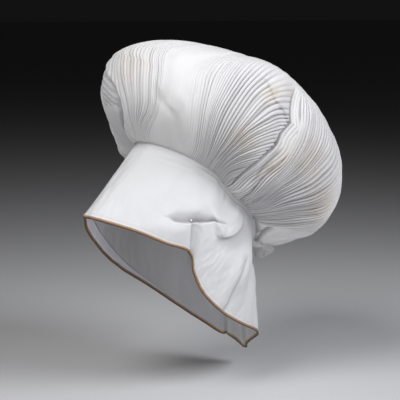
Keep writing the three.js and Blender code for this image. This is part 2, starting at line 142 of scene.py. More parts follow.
# where the crown's cloth is folded over itself: rise and angle of the upright fold, angle and rise of the lip
FOLD_LINE = [(0, 83.6), (0.075, 83.6), (0.125, 82.5), (0.165, 81.8), (0.2, 82), (0.265, 83), (0.3, 83.5), (0.32, 83.3),
             (0.345, 82.3), (0.37, 82.5), (0.395, 82.7), (0.42, 81.2), (0.46, 79.6), (0.52, 78.4), (0.65, 78)]
LIP_LINE = [(56, 0.56), (66, 0.50), (70, 0.46), (73, 0.428), (79.5, 0.415), (82.5, 0.395), (84, 0.39)]
# rise and angle along the front crease, the folded strip's slit with painted shade, and the plain cloth's borders at
# the nape
FRONT_CREASE = [(0.01, -21), (0.04, -14), (0.07, -6), (0.11, 1.5), (0.16, 5.5), (0.215, 6.5), (0.265, 1),
                (0.3, -8.5), (0.34, -16)]
STRIP_SLIT = [(0.06, 89), (0.13, 87.6), (0.18, 86.8), (0.225, 85.6), (0.26, 85.4), (0.3, 85.5)]
NAPE_LEFT = [(0, 121), (0.04, 124), (0.085, 127), (0.15, 131), (0.22, 140), (0.28, 150)]
NAPE_RIGHT = [(0, 238), (0.16, 229), (0.27, 218), (0.34, 208)]
# angle and rise along the deep fold at the nape
NAPE_GROOVE = [(126, 0.085), (129.5, 0.07), (134, 0.045), (139.5, 0.022), (149, 0.006)]
# folds of the plain cloth: half width in degrees, depth in millimetres, then rise and angle along each
SOFT_FOLDS = [
    (2.8, 2.4, [(0.05, 48.5), (0.145, 47), (0.19, 44.5), (0.225, 40), (0.25, 34), (0.30, 29)]),
    (3.4, -1.8, [(0.05, 55), (0.155, 52), (0.21, 48.5), (0.265, 45), (0.32, 40)]),
    (3, 1.5, [(0.22, 35.5), (0.26, 34), (0.315, 32), (0.37, 30), (0.435, 26.5), (0.5, 23)]),
    (4, 0.8, [(0.02, 38), (0.1, 38), (0.18, 34)]),
    (3, 0.8, [(0.28, 51), (0.34, 47.5), (0.42, 44.5), (0.5, 42)]),
]

# stains: angle, rise, half angle, half rise, strength
STAINS = [
    (71, 0.47, 2.6, 0.035, 0.5),
    (70, 0.42, 2.2, 0.04, 0.4),
    (76, 0.55, 5, 0.05, 0.25),
    (72, 0.25, 4, 0.035, 0.55),
    (12, 0.35, 9, 0.07, 0.35),
    (98, 0.36, 7, 0.07, 0.4),
    (88, 0.27, 2.5, 0.06, 0.6),
    (127, 0.33, 8, 0.08, 0.4),
    (115, 0.30, 9, 0.04, 0.35),
    (205, 0.42, 14, 0.10, 0.35),
    (290, 0.35, 12, 0.08, 0.3),
]


# helpers

def smooth(low, high, x):
    """0 below low, 1 above high, with a smooth step between."""
    t = np.clip((np.asarray(x, float) - low) / (high - low), 0, 1)
    return t * t * (3 - 2 * t)


def window(x, grow, fade):
    """0 outside and 1 inside: x grows in over the first pair of numbers and fades out over the second."""
    return smooth(*grow, x) * (1 - smooth(*fade, x))


def bell(x, middle, half, power=2):
    """1 at the middle, falling off smoothly to both sides."""
    return np.exp(-((x - middle) / half) ** power)


def turn(a, b):
    """The signed difference of two angles, from -180 to 180."""
    return (np.asarray(a, float) - b + 180.0) % 360.0 - 180.0


def unit(vectors):
    return vectors / np.maximum(np.linalg.norm(vectors, axis=-1, keepdims=True), 1e-9)


def along_line(points, x):
    return np.interp(x, [p[0] for p in points], [p[1] for p in points])


def hermite(t, width, low, high, slope_low, slope_high):
    t2, t3 = t * t, t * t * t
    return ((2 * t3 - 3 * t2 + 1) * low + (t3 - 2 * t2 + t) * width * slope_low
            + (3 * t2 - 2 * t3) * high + (t3 - t2) * width * slope_high)


def ring(rows, k, angle):
    """A column of a table, smoothly interpolated round the circle."""
    at, value = np.array([(r[0], r[k]) for r in rows], float).T
    a = np.mod(angle, 360.0)
    i = np.clip(np.searchsorted(at, a, side="right") - 1, 0, len(at) - 1)
    step = np.diff(np.append(at, at[0] + 360.0))
    slope = (np.roll(value, -1) - np.roll(value, 1)) / (np.roll(step, 1) + step)
    j = (i + 1) % len(at)
    return hermite((a - at[i]) / step[i], step[i], value[i], value[j], slope[i], slope[j])


def curve(at, values, x):
    """A smooth curve through the rows of values, at x."""
    at, values, x = (np.asarray(v, float) for v in (at, values, x))
    slope = np.gradient(values, at, axis=0)
    i = np.clip(np.searchsorted(at, x, side="right") - 1, 0, len(at) - 2)
    w = at[i + 1] - at[i]
    t = np.clip((x - at[i]) / w, 0, 1)
    if values.ndim > 1:
        w, t = w[:, None], t[:, None]
    return hermite(t, w, values[i], values[i + 1], slope[i], slope[i + 1])


def noise(x, y, seed, period=None):
    """Smooth value noise from -1 to 1. period wraps x."""
    def lattice(i, j):
        if period:
            i = np.mod(i, period)
        h = np.sin(i * 127.1 + j * 311.7 + seed * 74.7) * 43758.5453
        return 2 * (h - np.floor(h)) - 1
    i, j = np.floor(x), np.floor(y)
    u, v = x - i, y - j
    u, v = u * u * (3 - 2 * u), v * v * (3 - 2 * v)
    a = lattice(i, j) * (1 - u) + lattice(i + 1, j) * u
    b = lattice(i, j + 1) * (1 - u) + lattice(i + 1, j + 1) * u
    return a * (1 - v) + b * v


T = math.radians(SEAM_TILT)
FORWARD = np.array([0.0, -math.cos(T), math.sin(T)])
UP = np.array([0.0, math.sin(T), math.cos(T)])
SIDE = np.array([1.0, 0.0, 0.0])
CENTRE = np.array([0.0, -SEAM_FORWARD, SEAM_UP])


def place(along, side, above):
    """A point from its place along the seam's length, to its side and above its plane."""
    return (CENTRE + np.asarray(along)[..., None] * FORWARD + np.asarray(side)[..., None] * SIDE
            + np.asarray(above)[..., None] * UP)


def seam_local(angle):
    c, s = np.cos(np.radians(angle)), np.sin(np.radians(angle))
    along, above = SEAM_HALF_LENGTH * c, SEAM_BOW * s * s
    for at, half, along_share, above_share in SEAM_SHIFTS:
        near = bell(turn(angle, at), 0, half, 4)
        along = along + SEAM_HALF_LENGTH * along_share * near
        above = above + SEAM_BOW * above_share * near
    return along, SEAM_HALF_WIDTH * s, above


def crease_depth(crease, angle, rise):
    width, depth, line = crease
    first, last = line[0][0], line[-1][0]
    fade = window(rise, (first, first + CREASE_FADE), (last - CREASE_FADE, last + CREASE_FADE))
    return depth * CROWN_REACH * bell(turn(angle, along_line(line, rise)), 0, width) * fade


def crown_form(angle, rise):
    """The crown's surface without pleats. rise is 0 at the seam and 1 at the top."""
    angle, rise = np.broadcast_arrays(np.asarray(angle, float), np.asarray(rise, float))
    along, side, above0 = seam_local(angle)
    bearing = np.degrees(np.arctan2(side, along))
    start = np.hypot(along, side)
    reach = CROWN_REACH * ring(CROWN_SECTIONS, 1, bearing)
    height, sag = (CROWN_HEIGHT * ring(CROWN_SECTIONS, k, bearing) for k in (2, 3))
    full = ring(CROWN_SECTIONS, 4, bearing)
    t = np.clip(rise / LOWER_SHARE, 0, 1)
    w = 1 - t
    early = start + SEAM_SWELL * (reach - start)
    out_low = w ** 3 * start + 3 * w * w * t * early + (3 * w * t * t + t ** 3) * reach
    lift = height - above0
    up_low = (w ** 3 * above0 + 3 * w * w * t * (above0 - SEAM_SWELL * sag)
              + 3 * w * t * t * (above0 + WIDEST_LIFT * lift - WIDEST_SAG * sag) + t ** 3 * height)
    a = np.clip((rise - LOWER_SHARE) / (1 - LOWER_SHARE), 0, 1) * math.pi / 2
    out_high = reach * np.maximum(np.cos(a), 0) ** full
    up_high = height + (CROWN_HEIGHT - height) * np.sin(a) ** full
    low = rise < LOWER_SHARE
    out, above = np.where(low, out_low, out_high), np.where(low, up_low, up_high)
    for crease in CROWN_CREASES:
        out = out - crease_depth(crease, angle, rise)
    slip = CROWN_SLIP * np.maximum(above / CROWN_HEIGHT, 0)
    b = np.radians(bearing)
    return place(out * np.cos(b) + slip, out * np.sin(b), above)


def edge_point(angle):
    return np.stack([EDGE_HALF_WIDTH * ring(EDGE_SECTIONS, 2, angle),
                     -BRIM_REACH * ring(EDGE_SECTIONS, 1, angle),
                     -EDGE_DROP * ring(EDGE_SECTIONS, 3, angle)], -1)


def level_direction(points):
    """The level direction from the seam's middle to each point, x and y only."""
    return unit(points[..., :2] + np.array([0.0, SEAM_FORWARD]))


def brim_form(angle, down):
    """The brim's outer surface. down is 0 at the seam and 1 at the free edge."""
    angle, down = np.broadcast_arrays(np.asarray(angle, float), np.asarray(down, float))
    top = place(*seam_local(angle))
    point = top + (edge_point(angle) - top) * down[..., None]
    s = np.sin(np.radians(angle))
    outward = SIDE_BULGE * s * s * np.sin(math.pi * down)
    for at, half, middle, above, below, slant, lean, amount in BRIM_FOLDS:
        a = (turn(angle, at) - lean * (down - middle)) / half
        m = middle + slant * a
        d = (down - m) / np.where(down < m, above, below)
        outward = outward + amount * EDGE_HALF_WIDTH * np.exp(-a * a - d * d) * smooth(0, FOLDS_FULL, down)
    point = point.copy()
    point[..., :2] += level_direction(point) * outward[..., None]
    return point


def grid_normals(points, sign):
    """Normals of a grid of rows by columns, closed round the columns."""
    across = np.roll(points, -1, 1) - np.roll(points, 1, 1)
    return unit(np.cross(across, np.gradient(points, axis=0)) * sign)


def border_share(form, angle, distance, end):
    """The share of a surface's length within a distance of its start or end, square to that border."""
    step = 0.02
    across = unit(form(angle + 0.5, end) - form(angle - 0.5, end))
    inward = form(angle, abs(end - step)) - form(angle, end)
    return distance * step / np.linalg.norm(np.cross(inward, across), axis=-1)


def add_object(name, points, faces, material, smooth_shade=True):
    """A mesh object from points in millimetres and faces of three or four corners."""
    mesh = bpy.data.meshes.new(name)
    points = np.asarray(points, float).reshape(-1, 3) / 1000.0
    sizes = np.array([len(f) for f in faces])
    flat = np.concatenate([np.asarray(f) for f in faces])
    mesh.vertices.add(len(points))
    mesh.vertices.foreach_set("co", points.astype(np.float32).ravel())
    mesh.loops.add(len(flat))
    mesh.loops.foreach_set("vertex_index", flat.astype(np.int32))
    mesh.polygons.add(len(sizes))
    mesh.polygons.foreach_set("loop_start", (np.cumsum(sizes) - sizes).astype(np.int32))
    mesh.polygons.foreach_set("loop_total", sizes.astype(np.int32))
    mesh.update(calc_edges=True)
    mesh.validate()
    if smooth_shade:
        mesh.polygons.foreach_set("use_smooth", np.ones(len(sizes), bool))
    mesh.materials.append(material)
    obj = bpy.data.objects.new(name, mesh)
    bpy.context.scene.collection.objects.link(obj)
    return obj


def grid_faces(rows, columns, first=0, flip=False, closed=True):
    """Quads of a grid of rows by columns, closed round the columns or open."""
    j, i = np.meshgrid(np.arange(rows - 1), np.arange(columns if closed else columns - 1), indexing="ij")
    low, high, n = j * columns, (j + 1) * columns, (i + 1) % columns
    q = np.stack([low + i, low + n, high + n, high + i], -1).reshape(-1, 4)
    return (q[:, ::-1] if flip else q) + first


def rim_faces(a, b, flip=False):
    """Quads between two closed rings of vertex numbers of one length."""
    q = np.stack([a, np.roll(a, -1), np.roll(b, -1), b], -1)
    return q[:, ::-1] if flip else q


def panel_faces(rows, columns, flip):
    """Faces of a thin closed panel: two open grids of rows by columns, and the rims between them."""
    n = rows * columns
    row, column = np.arange(columns), np.arange(rows) * columns
    faces = [grid_faces(rows, columns, 0, flip, False), grid_faces(rows, columns, n, not flip, False)]
    for edge, back in ((row, False), (row + n - columns, True), (column, True), (column + columns - 1, False)):
        q = np.stack([edge[:-1], edge[1:], edge[1:] + n, edge[:-1] + n], -1)
        faces.append(q[:, ::-1] if back else q)
    return np.concatenate(faces)


def tube_faces(steps, sides):
    """Quads of a closed ring of cross sections."""
    i, k = np.meshgrid(np.arange(steps), np.arange(sides), indexing="ij")
    n, l = (i + 1) % steps, (k + 1) % sides
    return np.stack([i * sides + k, n * sides + k, n * sides + l, i * sides + l], -1).reshape(-1, 4)


def paint(obj, name, values):
    """A colour attribute from three columns of numbers from 0 to 1."""
    layer = obj.data.color_attributes.new(name, "FLOAT_COLOR", "POINT")
    data = np.ones((len(obj.data.vertices), 4), np.float32)
    data[:, :3] = np.clip(values, 0, 1)
    layer.data.foreach_set("color", data.ravel())


# materials

def feed(tree, socket, value):
    """Links a socket to an output, or sets its value."""
    if hasattr(value, "is_output"):
        tree.links.new(value, socket)
    else:
        socket.default_value = value


def node(tree, kind, **values):
    """A node. What starts with in_ is a socket's name or number, and the rest are settings."""
    n = tree.nodes.new(kind)
    n.location.x = 200 * len(tree.nodes)
    for key, value in values.items():
        if key.startswith("in_"):
            key = key[3:].replace("_", " ")
            feed(tree, n.inputs[int(key) if key.isdigit() else key], value)
        else:
            setattr(n, key, value)
    return n


def noise_node(tree, where, scale, **values):
    return node(tree, "ShaderNodeTexNoise", in_Vector=where, in_Scale=scale, **values).outputs["Fac"]


def mix_colour(tree, factor, a, b, blend="MIX"):
    n = tree.nodes.new("ShaderNodeMix")
    n.data_type, n.blend_type = "RGBA", blend
    for socket, value in ((n.inputs[0], factor), (n.inputs[6], a), (n.inputs[7], b)):
        feed(tree, socket, value)
    return n.outputs[2]


def start_material(name, **values):
    """A new material, its node tree, its shader with some sockets set, and the object's own coordinates."""
    mat = bpy.data.materials.new(name)
    mat.use_nodes = True
    tree = mat.node_tree
    bsdf = tree.nodes["Principled BSDF"]
    for key, value in values.items():
        bsdf.inputs[key.replace("_", " ")].default_value = value
    return mat, tree, bsdf, node(tree, "ShaderNodeTexCoord").outputs["Object"]


def read_shade_and_marks(tree):
    """The channels of the piece's colour attribute: painted shade first, then stains or the braid's darker edge."""
    attribute = node(tree, "ShaderNodeAttribute", attribute_name="shade_and_marks")
    return node(tree, "ShaderNodeSeparateColor", in_0=attribute.outputs["Color"]).outputs


# colours of the real stains, and of the painted shade that darkens valleys and creases
STAIN, VALLEY_SHADE = (0.60, 0.49, 0.33, 1), (0.42, 0.41, 0.43, 1)
THREAD_SCALE, THREAD_HEIGHT, WRINKLE_HEIGHT = 91.0, 0.0003, 0.006


def cloth(name, colour, shade, roughness=0.88, weave_bump=0.12, wrinkle_bump=0.15, wrinkle_scale=26.0, shade_and_marks=True):
    """Cloth: woven bump, soft wrinkles, blotches, and from its colour attribute painted shade in valleys, and stains.
    """
    mat, tree, bsdf, where = start_material(name, Roughness=roughness, Specular_IOR_Level=0.25,
                                            Sheen_Weight=0.15, Sheen_Roughness=0.5)
    blotch = noise_node(tree, where, 9.0, in_Detail=4.0, in_Roughness=0.6)
    ramp = node(tree, "ShaderNodeMapRange", in_Value=blotch, in_From_Min=0.35, in_From_Max=0.75)
    base = mix_colour(tree, ramp.outputs[0], colour, shade)
    if shade_and_marks:
        valley, stained, _ = read_shade_and_marks(tree)
        fine = noise_node(tree, where, 55.0, in_Detail=5.0, in_Roughness=0.7)
        reach = node(tree, "ShaderNodeMapRange", in_Value=fine, in_From_Min=0.3, in_From_Max=0.6,
                     in_To_Min=0.35)
        spots = node(tree, "ShaderNodeMath", operation="MULTIPLY", in_0=stained, in_1=reach.outputs[0])
        base = mix_colour(tree, spots.outputs[0], base, STAIN)
        # painted shade: valleys, creases and insides are darkened by the shade colour
        base = mix_colour(tree, valley, base, VALLEY_SHADE, "MULTIPLY")
    # weave: two crossed waves, then wrinkles
    turned = node(tree, "ShaderNodeMapping", in_Vector=where, in_Rotation=(0.7, 0.3, 0.5))
    threads = [node(tree, "ShaderNodeTexWave", wave_type="BANDS", bands_direction=axis,
                    in_Vector=turned.outputs[0], in_Scale=THREAD_SCALE, in_Distortion=1.5, in_Detail=1.0,
                    in_Detail_Scale=2.0).outputs["Fac"] for axis in ("X", "Y")]
    crossed = node(tree, "ShaderNodeMath", operation="MAXIMUM", in_0=threads[0], in_1=threads[1])
    wrinkle = noise_node(tree, where, wrinkle_scale, in_Detail=4.0, in_Roughness=0.55, in_Distortion=0.6)
    woven = node(tree, "ShaderNodeBump", in_Strength=weave_bump, in_Distance=THREAD_HEIGHT,
                 in_Height=crossed.outputs[0])
    creased = node(tree, "ShaderNodeBump", in_Strength=wrinkle_bump, in_Distance=WRINKLE_HEIGHT,
                   in_Height=wrinkle, in_Normal=woven.outputs[0])
    feed(tree, bsdf.inputs["Base Color"], base)
    feed(tree, bsdf.inputs["Normal"], creased.outputs[0])
    return mat


def yarn(name, colour, shade, worn, edge, valley):
    """Speckled yarn, worn in patches, darker at its outer edge, and with painted shade in its valleys."""
    mat, tree, bsdf, where = start_material(name, Roughness=0.85, Specular_IOR_Level=0.2, Sheen_Weight=0.2)
    speckle = noise_node(tree, where, 160.0, in_Detail=3.0, in_Roughness=0.6)
    wear = noise_node(tree, where, 14.0, in_Detail=3.0)
    base = mix_colour(tree, wear, mix_colour(tree, speckle, colour, shade), worn)
    deep, outer, _ = read_shade_and_marks(tree)
    # the darker outer edge, and painted shade in the plait's valleys
    base = mix_colour(tree, deep, mix_colour(tree, outer, base, edge), valley, "MULTIPLY")
    bump = node(tree, "ShaderNodeBump", in_Strength=0.4, in_Distance=0.0004, in_Height=speckle)
    feed(tree, bsdf.inputs["Base Color"], base)
    feed(tree, bsdf.inputs["Normal"], bump.outputs[0])
    return mat


def toned(name, colour, shade, scale, **values):
    """A plain material whose colour varies a little."""
    mat, tree, bsdf, where = start_material(name, **values)
    feed(tree, bsdf.inputs["Base Color"], mix_colour(tree, noise_node(tree, where, scale), colour, shade))
    return mat


pleated_cotton = cloth("pleated_cotton", (0.80, 0.795, 0.80, 1), (0.77, 0.755, 0.74, 1), weave_bump=0.1,
                       wrinkle_bump=0.08, wrinkle_scale=40.0)
brim_cotton = cloth("brim_cotton", (0.81, 0.81, 0.82, 1), (0.78, 0.78, 0.785, 1), roughness=0.8,
                    wrinkle_bump=0.14, wrinkle_scale=20.0)
facing_cotton = cloth("facing_cotton", (0.80, 0.79, 0.85, 1), (0.76, 0.75, 0.80, 1), shade_and_marks=False)
seam_cotton = cloth("seam_cotton", (0.78, 0.78, 0.79, 1), (0.72, 0.71, 0.71, 1), shade_and_marks=False)
ruffle_cotton = cloth("ruffle_cotton", (0.77, 0.765, 0.77, 1), (0.72, 0.71, 0.70, 1), shade_and_marks=False)
# the braid's colour, speckle, worn patches, outer edge and the painted shade of its valleys
brown_braid = yarn("brown_braid", (0.66, 0.42, 0.25, 1), (0.46, 0.28, 0.17, 1), (0.46, 0.33, 0.22, 1),
                   (0.085, 0.05, 0.036, 1), (0.30, 0.27, 0.27, 1))
white_pin = toned("white_pin", (0.88, 0.87, 0.85, 1), (0.82, 0.81, 0.79, 1), 300.0, Roughness=0.25, Coat_Weight=0.4)


# crown

# fields of pleats round the seam: first and last seam angle, pleats to a degree, mesh columns to a pleat
PLEAT_FIELDS = [
    (98, 124, 1.5, 6),
    (124, 180, 0.55, 4),
    (180, 305, 0.55, 4),
    (305, 352, 0.45, 4),
    (352, 376, 0.8, 6),
    (376, 402, 0.35, 4),
    (402, 416, 0.8, 5),
    (416, 426, 1.4, 5),
    (426, 443, 1.5, 6),
]
STRIP_FIELD = (83, 98, 0.8, 5)

# how the pleats run: the angle that a pleat from each seam angle has reached at each rise
PATH_RISES = [0, 0.1, 0.2, 0.3, 0.4, 0.5, 0.65]
PLEAT_PATHS = [
    (98, 92, 88.5, 88.7, 86, 83, 81.5),
    (100.3, 95.6, 92.2, 92, 90.6, 88.1, 85.5),
    (104.5, 100.7, 97.2, 98.3, 98.5, 98.5, 97),
    (107.5, 103.6, 100.7, 102.6, 105.1, 107.6, 110),
    (110, 107.2, 105.8, 110.6, 115.6, 119, 121),
    (112.5, 109.4, 110.4, 117.6, 123.9, 127, 129),
    (116, 112.4, 114.2, 122.5, 129.5, 132.5, 134),
    (119.5, 116, 118, 127.5, 134, 137, 138),
    (124, 124.5, 129, 135.5, 141, 143.5, 144.5),
    (150, 151, 153, 155.5, 158, 159.5, 160),
    (180, 180, 180, 180, 180, 180, 180),
    (225, 224, 222, 219, 216, 215, 214),
    (250, 250.5, 249, 247, 246, 246, 246),
    (305, 305, 305, 305, 305, 305, 305),
    (335, 338, 337, 333, 330, 328, 328),
    (352.5, 363.5, 365.5, 359.6, 352.5, 348, 346),
    (357, 369.6, 375.3, 370.2, 360.5, 355, 353),
    (361.5, 374.6, 380.6, 377.7, 369.1, 362.5, 360),
    (367, 379.1, 387, 385.2, 378.5, 372, 370),
    (375.5, 385.6, 392.8, 391.2, 386, 380, 378),
    (388, 394, 397, 394.5, 390.5, 387, 385),
    (404, 407.5, 406.5, 403, 399, 396.5, 395),
    (413, 416, 414.8, 411.5, 407.5, 405.5, 404.5),
    (421.5, 422.5, 421.2, 419.5, 418.8, 418.4, 418),
    (425.5, 426.2, 426.6, 426.5, 427, 429.5, 434),
    (427.8, 428, 429, 429.9, 432.5, 438.5, 450),
    (429.5, 429.6, 430.4, 432.6, 439.5, 450, 464),
    (431.2, 430.8, 431.9, 435.4, 444.5, 456, 470),
    (432.6, 431.8, 433.4, 438, 449, 461, 474),
    (434, 432.9, 435, 441.5, 453, 465, 478),
    (436, 434.8, 438, 446, 457, 469, 482),
    (438, 436.9, 441, 450, 461, 473, 486),
    (440.5, 439.4, 445, 454, 465, 477, 490),
    (443, 443.2, 450, 459, 470, 482, 495),
]

# single deep pleats: seam angle, half width in degrees, depth, first and last rise
DEEP_PLEATS = [
    (427.9, 0.45, 2.2, 0.10, 0.42),
    (429.3, 0.35, 1.6, 0.12, 0.40),
    (431, 0.35, 1, 0.05, 0.34),
    (433.6, 0.35, 1.2, 0.05, 0.30),
    (435.6, 0.3, 1.6, 0.03, 0.26),
    (438.2, 0.4, 1.4, 0.03, 0.2),
    (425.6, 0.4, 1.2, 0.08, 0.44),
    (422.2, 0.5, 1, 0.05, 0.42),
    (418.2, 0.5, 0.8, 0.03, 0.3),
    (100.4, 0.5, 1.4, 0.05, 0.34),
    (102.6, 0.6, 1.6, 0.05, 0.36),
    (105.4, 0.6, 1.6, 0.03, 0.34),
    (108.2, 0.6, 2, 0.03, 0.32),
    (110.6, 0.6, 2, 0.05, 0.38),
    (113.4, 0.5, 1.6, 0.03, 0.36),
    (116.4, 0.6, 1.8, 0.03, 0.34),
    (119.8, 0.7, 1.6, 0.02, 0.3),
    (356, 0.8, 1.4, 0.02, 0.34),
    (359.4, 0.7, 0.9, 0.10, 0.45),
    (363, 0.8, 1.2, 0.02, 0.40),
    (367.4, 0.7, 0.9, 0.06, 0.48),
    (372, 0.8, 1.1, 0.02, 0.42),
]

CROWN_ROWS = np.concatenate([np.linspace(0, 0.36, 44), np.linspace(0.36, 0.52, 24)[1:],
                             np.linspace(0.52, 0.985, 20)[1:]])
# where columns end before the fold and the valley, and how far the fold's crest hangs over, in degrees
COLUMN_GAP, CREST_OVERHANG = 0.3, 0.8
STRIP_NUMBER = 1000.0
# left of the fold the seam angles are past this one, and they end at the other
LEFT_FROM, LEFT_TO = 300.0, 443.5
# the greatest lift in millimetres, and the cap and scale of the painted shade in valleys and creases
GREATEST_LIFT, VALLEY_LIMIT, VALLEY_SHARE = 3.0, 1.3, 0.68
SEAM_CLEAR = CORD_RADIUS + 0.15
LINING_COLUMNS, LINING_ROWS, LINING_TOP, LINING_DEPTH = 120, 22, 0.96, 5.5
# painted shade of the crown's inside
LINING_SHADE = 0.15


def field_columns(fields):
    """Seam angles and pleat numbers of the mesh's columns."""
    angles, numbers, start = [], [], 0
    for first, last, density, columns in fields:
        pleats = round((last - first) * density)
        step = np.arange(pleats * columns) / columns
        angles.append(first + (last - first) * step / pleats)
        numbers.append(start + step)
        start += pleats
    return np.concatenate(angles), np.concatenate(numbers)


def crest(rise):
    """1 where the fold stands out over the strip beside it."""
    return window(rise, (0.02, 0.1), (0.5, 0.66))


def crown_net():
    """Every vertex of the outer surface, ring by ring: column, seam angle, pleat number, angle and row."""
    seam_a, number_a = field_columns(PLEAT_FIELDS)
    seam_s, number_s = field_columns([STRIP_FIELD])
    count_a = len(seam_a)
    by_rise = curve(PATH_RISES, np.array(PLEAT_PATHS).T, CROWN_ROWS)
    path_seam = [p[0] for p in PLEAT_PATHS]
    open_a, open_s = np.ones(count_a, bool), np.ones(len(seam_s), bool)
    rings = []
    for row, rise in enumerate(CROWN_ROWS):
        fold, valley = 360.0 + float(along_line(FOLD_LINE, rise)), by_rise[row, 0] + 360.0
        angle_a = curve(path_seam, by_rise[row], seam_a)
        angle_s = fold + (seam_s - seam_s[0])
        open_a &= angle_a < fold - COLUMN_GAP
        open_s &= angle_s < valley - COLUMN_GAP
        open_s[0] = True
        angle_s[0] = fold - CREST_OVERHANG * crest(rise)
        a, s = np.flatnonzero(open_a), np.flatnonzero(open_s)
        rings.append({
            "column": np.concatenate([a, [count_a], count_a + 1 + s]),
            "seam": np.concatenate([seam_a[a], [fold], 360.0 + seam_s[s]]),
            "number": np.concatenate([number_a[a], [math.ceil(number_a[-1])], STRIP_NUMBER + number_s[s]]),
            "angle": np.concatenate([angle_a[a], [fold], angle_s[s]]),
            "row": np.full(len(a) + 1 + len(s), row),
        })
    return rings


def zip_rings(low, high):
    """Faces between two rings of vertices that share most of their columns."""
    quads, triangles = [], []
    i = j = 0
    ends = len(low), len(high)
    low, high = low + [(1e9, low[0][1])], high + [(1e9, high[0][1])]
    while i < ends[0] or j < ends[1]:
        a, b = low[i + 1][0] if i < ends[0] else 2e9, high[j + 1][0] if j < ends[1] else 2e9
        if a == b:
            quads.append((low[i][1], low[i + 1][1], high[j + 1][1], high[j][1]))
            i, j = i + 1, j + 1
        elif a < b:
            triangles.append((low[i][1], low[i + 1][1], high[j][1]))
            i += 1
        else:
            triangles.append((low[i][1], high[j + 1][1], high[j][1]))
            j += 1
    return quads, triangles


def nape_share(near, rise):
    """1 where the cloth hangs plain at the nape."""
    first, last = along_line(NAPE_LEFT, rise), along_line(NAPE_RIGHT, rise)
    return smooth(-1.5, 1.5, near - first) * (1 - smooth(-1.5, 1.5, near - last)) * (1 - smooth(0.3, 0.36, rise))


def groove_along(line, half, at, across):
    """1 on a line given as points, falling off to both sides across it."""
    return bell(across, along_line(line, at), half)


def beside_crease(near, rise):
    """Degrees from the middle plane, and degrees from the front crease, above 0 where the cloth is plain."""
    front = turn(near, 0)
    return front, along_line(FRONT_CREASE, rise) - front


def turned_share(front, beside, rise, grow, fade):
    """1 where the plain cloth beside the front crease has turned pleats of its own."""
    return window(beside, (-0.5, 1), (17, 24)) * window(rise, grow, fade) * (front < 12)


def crown_strength(seam, angle, rise):
    """How strongly the cloth is pleated."""
    near = np.mod(angle, 360.0)
    front_fade, back_fade = 1 - smooth(0.48, 0.72, rise), 1 - smooth(0.56, 0.9, rise)
    strength = 0.85 + 0.15 * smooth(0, 0.08, rise)
    strength = strength * (front_fade + (back_fade - front_fade) * window(near, (84, 92), (330, 345)))
    strength = strength * (1 - 0.94 * window(seam, (374.5, 379), (403, 421))) * (1 - nape_share(near, rise))
    # beyond the front crease the cloth is plain, but for the turned pleats
    front, beside = beside_crease(near, rise)
    strength = strength * (1 - 0.8 * smooth(-1, 0.5, beside) * (front > -62) * (rise < 0.33))
    strength = strength * (1 - 0.95 * turned_share(front, beside, rise, (0.15, 0.18), (0.29, 0.33)))
    # the smooth band beside the fold, above the valley
    band = bell(near, 87.5, 2.6, 4) * window(rise, (0.28, 0.32), (0.42, 0.5))
    strength = strength * (1 - 0.8 * band * (seam < LEFT_FROM))
    # above the lip the pleats are only short strokes
    past_lip = smooth(0, 0.01, rise - along_line(LIP_LINE, near)) * window(near, (64, 68), (83, 84))
    return strength * (1 - 0.45 * past_lip * (seam > LEFT_FROM))


